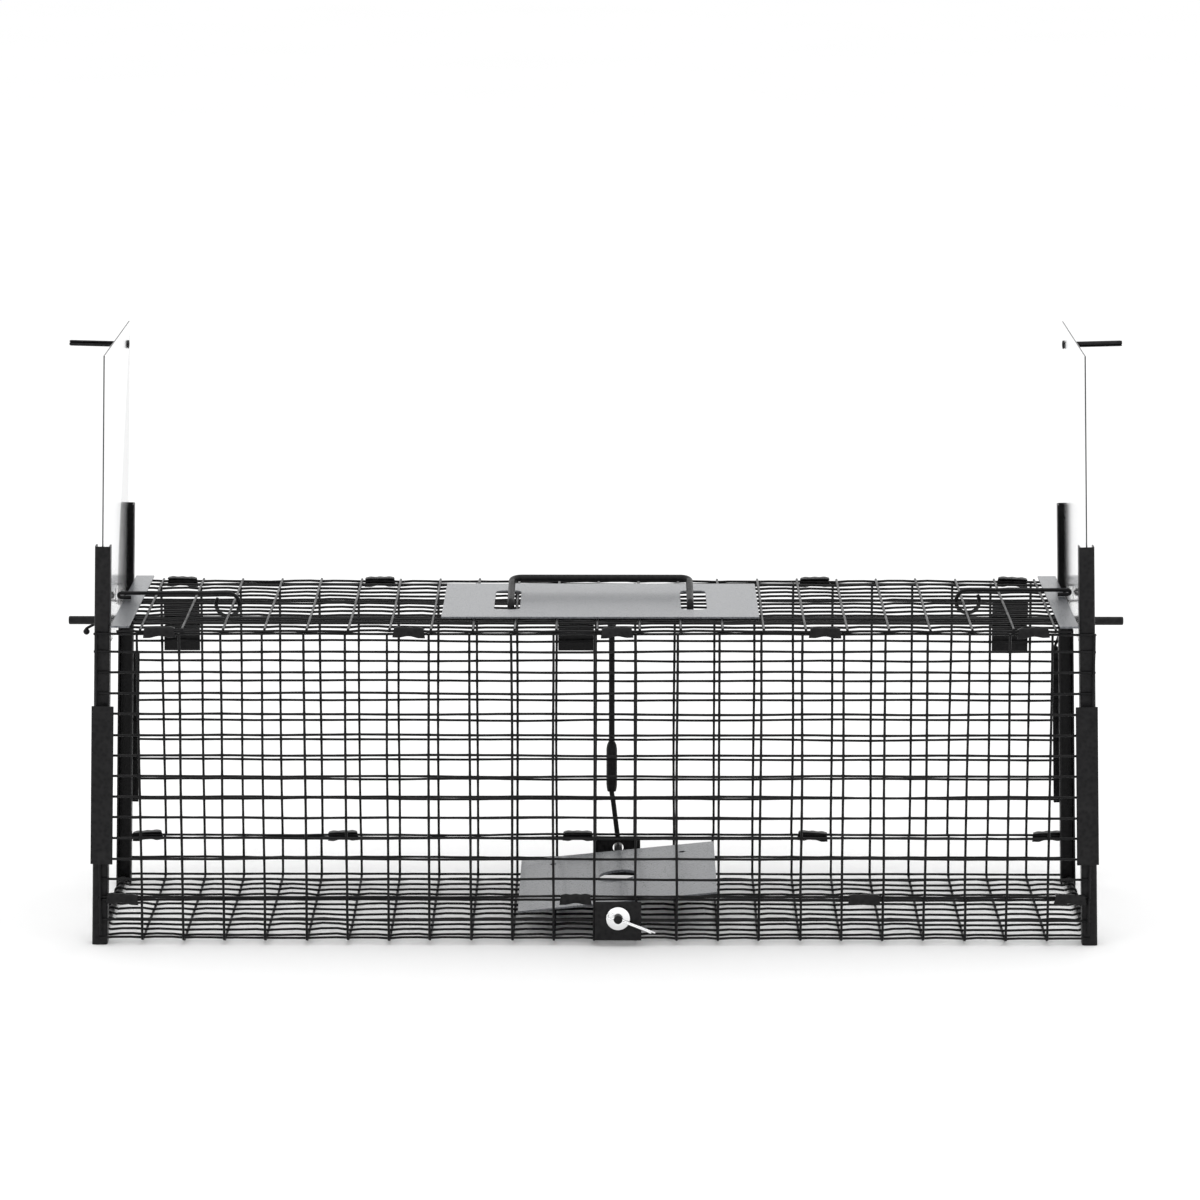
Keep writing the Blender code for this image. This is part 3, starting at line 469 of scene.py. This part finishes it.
grey, shader, spot = finish("grey_hammer_enamel", Metallic=0.45, Specular_IOR_Level=0.5, Coat_Weight=0.2,
                            Coat_Roughness=0.2)
cell = spot.cells(950.0, "SMOOTH_F1").steps((0.05, 0.0), (0.6, 1.0))
flake = spot.cells(1700.0, "F1", 1).node("ShaderNodeSeparateColor", {}, {}, 0)
feed(shader, (0.6 * cell + 0.4 * flake).between((0.022, 0.024, 0.028, 1.0), (0.155, 0.162, 0.175, 1.0)),
     0.24 + 0.14 * cell, cell + 0.4 * spot.grain(1200.0), 0.00022, 0.7)

for title in ("left", "right"):
    paint(f"{title}_top_strip", grey, 0.0003)

# --------------------------------------------------------------------------------------------------
# Doors. Two plain sheets of bright galvanized steel that drop in the channels. Each has a round hole for its
# pin and an oblong one that the catch lever reaches into.

galvanized, shader, spot = finish("galvanized_sheet", Metallic=0.9, Specular_IOR_Level=0.5)
spangle = spot.cells(120.0, "F1", 1).node("ShaderNodeSeparateColor", {}, {}, 0)
rubbed = spot.stretched(1.0, 1.0, 0.05).grain(700.0, 4.0)
# Faces that don't point along X, the doors' cut edges and hole walls, are coloured near black: painted shade
# along the edges. The same mask also makes those faces rougher.
edge_shade_and_gloss_mask = spot.facing(0).steps((0.3, 0.0), (0.7, 1.0))
zinc_tone = (0.7 * spangle + 0.3 * rubbed).between((0.86, 0.865, 0.87, 1.0), (0.95, 0.953, 0.957, 1.0))
door_gloss = 0.36 - 0.24 * edge_shade_and_gloss_mask + 0.05 * spangle + 0.04 * rubbed
zinc_with_painted_edge_shade = edge_shade_and_gloss_mask.between((0.07, 0.07, 0.072, 1.0), zinc_tone)
feed(shader, zinc_with_painted_edge_shade, door_gloss, spangle + 0.5 * rubbed, 0.00004, 0.4)

for title in ("left", "right"):
    paint(f"{title}_door", galvanized, 0.0002)

# --------------------------------------------------------------------------------------------------
# Door pins. Rolled steel tubes, slit along their length, pushed out through each door and headed over inside
# it. They are painted with the frames, and they lift the doors and hold the lock hooks off.

PIN_WALL = 0.0005
PIN_SLIT = 0.0005
PIN_TAPER = 0.0011


def turned(name, profile, frame_of, steps=40):
    """A turned or pressed round piece from radius and height pairs about its own axis."""
    bm = bmesh.new()
    rings = []
    for radius, height in profile:
        turns = [2 * math.pi * step / steps for step in range(steps)]
        rings.append([bm.verts.new(frame_of @ Vector((radius * math.cos(a), radius * math.sin(a), height)))
                      for a in turns])
    for ring, following in zip(rings, rings[1:]):
        for spot in range(steps):
            bm.faces.new((ring[spot - 1], ring[spot], following[spot], following[spot - 1]))
    bmesh.ops.remove_doubles(bm, verts=bm.verts, dist=0.000005)
    bmesh.ops.recalc_face_normals(bm, faces=bm.faces)
    mesh = bpy.data.meshes.new(name)
    bm.to_mesh(mesh)
    bm.free()
    mesh.shade_smooth()
    mesh.set_sharp_from_angle(angle=math.radians(35))
    return bpy.data.objects.new(name, mesh)


slides = {joint["name"]: joint for joint in frame["joints"]}
for title, side in (("left", -1), ("right", 1)):
    up = Vector(slides[f"{title}_door_slide"]["axis"])
    outward = Vector((side * up.z, 0.0, -side * up.x))
    low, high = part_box(f"{title}_door_pin")
    centre = (low + high) / 2
    half = (high - low).x / 2 - 0.0001
    radius = ((high - low).z - 2 * abs(outward.z) * half) / 2
    head = radius
    stem = head * 0.672
    seat = Matrix((Vector((0.0, 1.0, 0.0)), outward.cross(Vector((0.0, 1.0, 0.0))), outward)).transposed()
    seat = Matrix.Translation(centre) @ seat.to_4x4()
    grid = []
    for height, share in ((-half + 0.0006, 1.0), (0.0, 1.0), (half - PIN_TAPER, 1.0), (half - 0.0005, 0.93),
                          (half, 0.84)):
        radius = (stem - PIN_WALL / 2) * share
        row = []
        for step in range(29):
            angle = math.radians(205.0) + PIN_SLIT / stem + (2 * math.pi - 2 * PIN_SLIT / stem) * step / 28
            row.append(seat @ Vector((radius * math.cos(angle), radius * math.sin(angle), height)))
        grid.append(row)
    tube = sheet(f"{title}_rolled_pin", grid, PIN_WALL)
    show(tube, black, "black_hammer", f"{title}_door_body", f"{title}_door_pin")
    rim = [(stem * 0.75, -half + 0.001), (stem * 0.8, -half + 0.0001), (stem, -half),
           (head * 0.93, -half + 0.0002), (head, -half + 0.0005), (head, -half + 0.001),
           (stem * 0.75, -half + 0.001)]
    flange = turned(f"{title}_pin_head", rim, seat)
    show(flange, black, "black_hammer", f"{title}_door_body")

# --------------------------------------------------------------------------------------------------
# Catch levers. One length of black wire each: a ring that turns on a cross wire of the top, a straight arm,
# and a hairpin tip that reaches the raised door.

LEVER_RADIUS = 0.0012
LEVER_RING = 0.0073
LEVER_HAIRPIN = 0.009
LEVER_DROP = 0.0028


def arc(centre, radius, start, sweep, steps):
    """Points round an arc in a plane; the angles are in degrees."""
    angles = [math.radians(start + sweep * step / steps) for step in range(steps + 1)]
    return [(centre[0] + radius * math.cos(a), centre[1] + radius * math.sin(a)) for a in angles]


for title, side in (("left", -1), ("right", 1)):
    low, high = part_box(f"{title}_catch_lever")
    tip = low.x if side < 0 else high.x
    ring_x = (high.x if side < 0 else low.x) + side * (LEVER_RING + LEVER_RADIUS)
    arm_z = high.z - LEVER_RADIUS
    bend = LEVER_DROP / 2
    outline = [(tip - side * LEVER_HAIRPIN, arm_z - LEVER_DROP)]
    outline += arc((tip - side * (bend + LEVER_RADIUS), arm_z - bend), bend, -90.0, side * 180.0, 8)
    outline += arc((ring_x, arm_z - LEVER_RING), LEVER_RING, 90.0, side * 305.0, 40)
    run = [(x, (low.y + high.y) / 2, z, 1.0) for x, z in outline]
    show(wires(f"{title}_lever_wire", [run], LEVER_RADIUS, 4), enamel, "black_wire", f"{title}_lever",
         f"{title}_catch_lever")

# --------------------------------------------------------------------------------------------------
# Trip bar. A long round bar behind the rear panel, with a stem welded under it and a crimped sleeve on the
# stem's end. Three saddles of folded sheet, closed on the rear panel, guide it.

low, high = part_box("trip_bar")
BAR_Y = (low.y + high.y) / 2
BAR_Z = (low.z + high.z) / 2
BAR_RADIUS = (high.z - low.z) / 2
show(bar("trip_rod", (low.x, BAR_Y, BAR_Z), (high.x, BAR_Y, BAR_Z), BAR_RADIUS, 0.0005, 0.0), black,
     "black_hammer", "trip_bar_body", "trip_bar")
low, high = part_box("trip_stem")
stem_x = (low.x + high.x) / 2
weld = [(stem_x, BAR_Y, low.z, 1.0), (stem_x, BAR_Y, high.z - 0.004, 1.0),
        (stem_x, BAR_Y, high.z - 0.0016, 1.12), (stem_x, BAR_Y, high.z, 1.5),
        (stem_x, BAR_Y, BAR_Z - 0.0008, 1.62)]
show(wires("stem_rod", [weld], (high.x - low.x) / 2, 5), black, "black_hammer", "trip_bar_body", "trip_stem")
low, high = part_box("trip_sleeve")
wide = (high.x - low.x) / 2
axis = Matrix.Translation((stem_x, BAR_Y, 0.0))
profile = [(wide * 0.7, low.z), (wide * 0.8, low.z), (wide * 0.92, low.z + 0.002), (wide, low.z + 0.0045),
           (wide, high.z - 0.005), (wide * 0.88, high.z - 0.002), (wide * 0.62, high.z),
           (wide * 0.5, high.z), (wide * 0.5, high.z - 0.003), (wide * 0.77, high.z - 0.006),
           (wide * 0.77, low.z + 0.004), (wide * 0.7, low.z)]
show(turned("crimped_sleeve", profile, axis), black, "black_hammer", "trip_bar_body", "trip_sleeve")
for title in ("left", "middle", "right"):
    paint(f"{title}_bar_guide", black, 0.00022)

# --------------------------------------------------------------------------------------------------
# Lock hooks. Short wires in black enamel that hang by their eyes on the trip bar, each with a ball on its
# lower end. The left one is shorter and slants further out.

HOOK_RADIUS = 0.0009
HOOK_BALL = 0.0021
HOOK_SHANK = {"left": 0.0048, "right": 0.0155}
HOOK_SLANT = {"left": 0.009, "right": 0.006}
HOOK_EYE = BAR_RADIUS + 0.0005 + HOOK_RADIUS
HOOK_HANG = math.radians(-18.6)

for title in ("left", "right"):
    hinge = slides[f"{title}_hook_swing"]
    shank = HOOK_SHANK[title]
    slant = HOOK_SLANT[title]
    hang = Matrix.Translation(hinge["pos_m"]) @ Matrix.Rotation(HOOK_HANG, 4, "X")
    run = [(0.0, y, z, 1.0) for y, z in arc((0.0, 0.0), HOOK_EYE, 295.0, -295.0, 32)]
    for step in range(1, 9):
        share = step / 8
        run.append((-slant * share, HOOK_EYE, -shank * share, 1.0))
    for step in range(1, 11):
        angle = math.pi * (0.15 + 0.83 * step / 10)
        drop = shank + HOOK_BALL * (1.0 - math.cos(angle))
        run.append((-slant, HOOK_EYE, -drop, HOOK_BALL / HOOK_RADIUS * math.sin(angle)))
    run = [(*(hang @ Vector(point[:3])), point[3]) for point in run]
    show(wires(f"{title}_ball_hook", [run], HOOK_RADIUS, 4), enamel, "black_wire", f"{title}_hook",
         f"{title}_lock_hook")

# --------------------------------------------------------------------------------------------------
# Treadle. A square grey hammertone plate welded on the ends of two stub shafts, with a bait hole whose rim
# stands up a little. The rod on its rear shaft enters the sleeve of the trip bar.

TREADLE_TILT = math.radians(-5.8)
SHAFT_RADIUS = 0.0026
BAIT_RADIUS = 0.012
PLATE_TOP = SHAFT_RADIUS + 0.0015
PLATE_UNDER = SHAFT_RADIUS + 0.0003

paint("treadle_plate", grey, 0.0003)
hinge = slides["treadle_tilt"]
rise = math.atan2(hinge["axis"][2], hinge["axis"][1])
level = Matrix.Translation(hinge["pos_m"]) @ Matrix.Rotation(rise, 4, "X")
treadle = level @ Matrix.Rotation(TREADLE_TILT, 4, "Y")
profile = [(BAIT_RADIUS - 0.0001, -0.0012), (BAIT_RADIUS - 0.0001, 0.0002), (BAIT_RADIUS + 0.0002, 0.0005),
           (BAIT_RADIUS + 0.0006, 0.0005), (BAIT_RADIUS + 0.001, 0.0002), (BAIT_RADIUS + 0.0014, 0.0),
           (BAIT_RADIUS + 0.0014, -0.0001)]
show(turned("bait_hole_rim", profile, treadle @ Matrix.Translation((0.0, 0.0, PLATE_TOP)), 64), grey,
     "grey_hammer", "treadle")
for place in ("front", "rear"):
    low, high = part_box(f"treadle_shaft_{place}")
    middle = (low + high) / 2
    ends = [treadle.inverted() @ Vector((hinge["pos_m"][0], y, middle.z)) for y in (low.y, high.y)]
    start = treadle @ Vector((0.0, ends[0].y, 0.0))
    end = treadle @ Vector((0.0, ends[1].y, 0.0))
    show(bar(f"{place}_stub_shaft", start, end, SHAFT_RADIUS), black, "black_hammer", "treadle",
         f"treadle_shaft_{place}")
    beads = []
    for side in (-1, 1):
        for first in (0.0565,):
            bead = []
            for step in range(13):
                y = (first + 0.005 * step / 12) * (-1 if place == "front" else 1)
                lump = 0.75 + 0.35 * noise((step * 0.9, side * 3.1 + first * 90.0, 0.5))
                swell = math.sin(math.pi * (0.06 + 0.88 * step / 12)) ** 0.5 * lump
                bead.append((*(treadle @ Vector((side * 0.0017, y, PLATE_UNDER - 0.0004))), swell))
            beads.append(bead)
    show(wires(f"{place}_shaft_welds", beads, 0.0009, 3), black, "black_hammer", "treadle")
low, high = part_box("treadle_arm")
sleeve_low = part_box("trip_sleeve")[0].z
arm = [(hinge["pos_m"][0], BAR_Y, low.z + 0.0001), (stem_x + 0.001, BAR_Y, sleeve_low - 0.007),
       (stem_x, BAR_Y, sleeve_low - 0.001), (stem_x, BAR_Y, high.z)]
smooth_arm = []
for before, after in zip(arm, arm[1:]):
    for part in range(6):
        smooth_arm.append((*Vector(before).lerp(Vector(after), part / 6), 1.0))
smooth_arm.append((*arm[-1], 0.8))
show(wires("treadle_rod", [smooth_arm], 0.0016, 4), black, "black_hammer", "treadle", "treadle_arm")

# --------------------------------------------------------------------------------------------------
# Washer and split pin. Bright zinc, on the front end of the treadle's shaft to keep it in its bracket. The
# pin is half-round wire doubled back on itself, with an open eye and one leg longer than the other.

PIN_SLOPE = math.radians(21.5)

zinc, shader, spot = finish("bright_zinc_plate", Metallic=1.0, Specular_IOR_Level=0.5)
haze = spot.grain(800.0, 4.0)
feed(shader, haze.between((0.88, 0.885, 0.89, 1.0), (0.96, 0.962, 0.965, 1.0)), 0.12 + 0.12 * haze,
     haze + 0.5 * spot.grain(2600.0), 0.00003, 0.2)

low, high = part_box("shaft_washer")
wide = (high.x - low.x) / 2
flat = (treadle.to_3x3() @ Matrix.Rotation(-math.pi / 2, 3, "X")).to_4x4()
seat = Matrix.Translation((low + high) / 2) @ flat
profile = [(0.003, -0.0006), (wide - 0.0003, -0.0006), (wide, -0.0004), (wide, 0.0003),
           (wide - 0.0004, 0.0006), (0.0032, 0.0006), (0.003, 0.0004), (0.003, -0.0006)]
show(turned("plain_washer", profile, seat, 48), zinc, "bright_zinc", "treadle", "shaft_washer")
low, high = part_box("split_pin")
slope = Vector((math.cos(PIN_SLOPE), 0.0, -math.sin(PIN_SLOPE)))
upright = Vector((math.sin(PIN_SLOPE), 0.0, math.cos(PIN_SLOPE)))
shaft = (low + high) / 2 - slope * 0.00875


def pin_point(length, lift, share=1.0):
    return (*(shaft + slope * length + upright * lift), share)


legs = [pin_point(0.0245, 0.0004, 0.7), pin_point(0.0235, 0.0004), pin_point(-0.0034, 0.0005)]
legs += [pin_point(x, z) for x, z in arc((-0.0052, 0.0), 0.0019, 40.0, 280.0, 22)]
legs += [pin_point(-0.0034, -0.0005), pin_point(0.0185, -0.0004), pin_point(0.0212, -0.0006),
         pin_point(0.0222, -0.0006, 0.7)]
show(wires("cotter_pin", [legs], 0.00054, 4), zinc, "bright_zinc", "treadle", "split_pin")

# --------------------------------------------------------------------------------------------------
# Brackets. Plates of black-painted sheet fixed outside the front and rear lips, each with a hole for the
# treadle's shaft.

for place in ("front", "rear"):
    paint(f"{place}_bracket", black, 0.0003)

# --------------------------------------------------------------------------------------------------
# Handle. A plate of grey hammertone sheet on the top panel with two windows, and a bail of black rod whose
# ends pass down the windows and curl round a cross wire.

HANDLE_RADIUS = 0.00215
HANDLE_LEG = 0.0445
HANDLE_BEND = 0.006
HANDLE_EYE = 0.0038
HANDLE_RAISE = math.radians(8.5)

paint("handle_plate", grey, 0.0003)
low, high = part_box("carry_handle")
reach = (high.x - low.x) / 2 - HANDLE_RADIUS
raised = Matrix.Translation(slides["handle_fold"]["pos_m"]) @ Matrix.Rotation(HANDLE_RAISE, 4, "X")
run = [(-reach, y, z) for y, z in arc((0.0, 0.0), HANDLE_EYE, 340.0, -250.0, 28)]
corner = arc((-reach + HANDLE_BEND, HANDLE_LEG - HANDLE_BEND), HANDLE_BEND, 180.0, -90.0, 10)
run += [(-reach, HANDLE_LEG * share, HANDLE_EYE) for share in (0.25, 0.5, 0.7)]
run += [(x, y, HANDLE_EYE) for x, y in corner]
run += [(-x, y, z) for x, y, z in reversed(run)]
run = [(*(raised @ Vector(point)), 1.0) for point in run]
show(wires("bail", [run], HANDLE_RADIUS, 6), black, "black_hammer", "handle", "carry_handle")

# --------------------------------------------------------------------------------------------------
# Studio. A pale floor that runs far behind the trap, soft light from above and behind, and the camera.

FLOOR_RADIUS = 16.0


def stage_finish(name, colour, glow):
    """Matt white stage paint with a faint mottle, and a glow of its own if one is asked for."""
    material, shader, spot = finish(name, Specular_IOR_Level=0.0, Emission_Strength=glow)
    soft = spot.grain(3.0)
    light = colour * 1.02
    feed(shader, soft.between((colour, colour, colour, 1.0), (light, light, light, 1.0)),
         0.9 + 0.05 * soft, soft, 0.0001, 0.1)
    links = material.node_tree.links
    tint = soft.between((0.99, 0.99, 0.99, 1.0), (1.0, 1.0, 1.0, 1.0))
    links.new(tint.socket, shader.inputs["Emission Color"])
    return material


ground = turned("studio_floor", [(FLOOR_RADIUS, 0.0), (0.0, 0.0)], Matrix.Translation((0.0, 2.0, 0.0)), 96)
bpy.context.scene.collection.objects.link(ground)
ground.data.materials.append(stage_finish("studio_white", 0.86, 0.0))

world = bpy.data.worlds.new("studio")
bpy.context.scene.world = world
world.use_nodes = True
world.node_tree.nodes["Background"].inputs["Color"].default_value = (1.0, 1.0, 1.0, 1.0)
world.node_tree.nodes["Background"].inputs["Strength"].default_value = 1.15


def softbox(name, place, aim, size, power):
    """A rectangular soft light turned to a point."""
    lamp = bpy.data.lights.new(name, "AREA")
    lamp.shape = "RECTANGLE"
    lamp.size, lamp.size_y = size
    lamp.energy = power
    light = bpy.data.objects.new(name, lamp)
    bpy.context.scene.collection.objects.link(light)
    light.location = place
    light.rotation_euler = (Vector(aim) - Vector(place)).to_track_quat("-Z", "Y").to_euler()


softbox("overhead", (0.2, -0.3, 2.3), (0.0, 0.0, 0.1), (2.4, 1.6), 12.0)
softbox("back_wash", (0.0, 4.6, 1.5), (0.0, 0.0, 0.2), (6.0, 2.2), 12.0)
softbox("front_left", (-2.0, -2.4, 1.6), (0.0, 0.0, 0.1), (1.2, 0.8), 3.0)

camera = bpy.data.objects.new("camera", bpy.data.cameras.new("camera"))
bpy.context.scene.collection.objects.link(camera)
camera.location = (0.0151, -3.0876, 0.7932)
camera.rotation_euler = (math.radians(90.0 - 10.85), 0.0, math.radians(0.224))
camera.data.lens = 150.47
camera.data.sensor_width = 36.0
camera.data.clip_end = 100.0
bpy.context.scene.camera = camera
bpy.context.scene.view_settings.view_transform = "Standard"
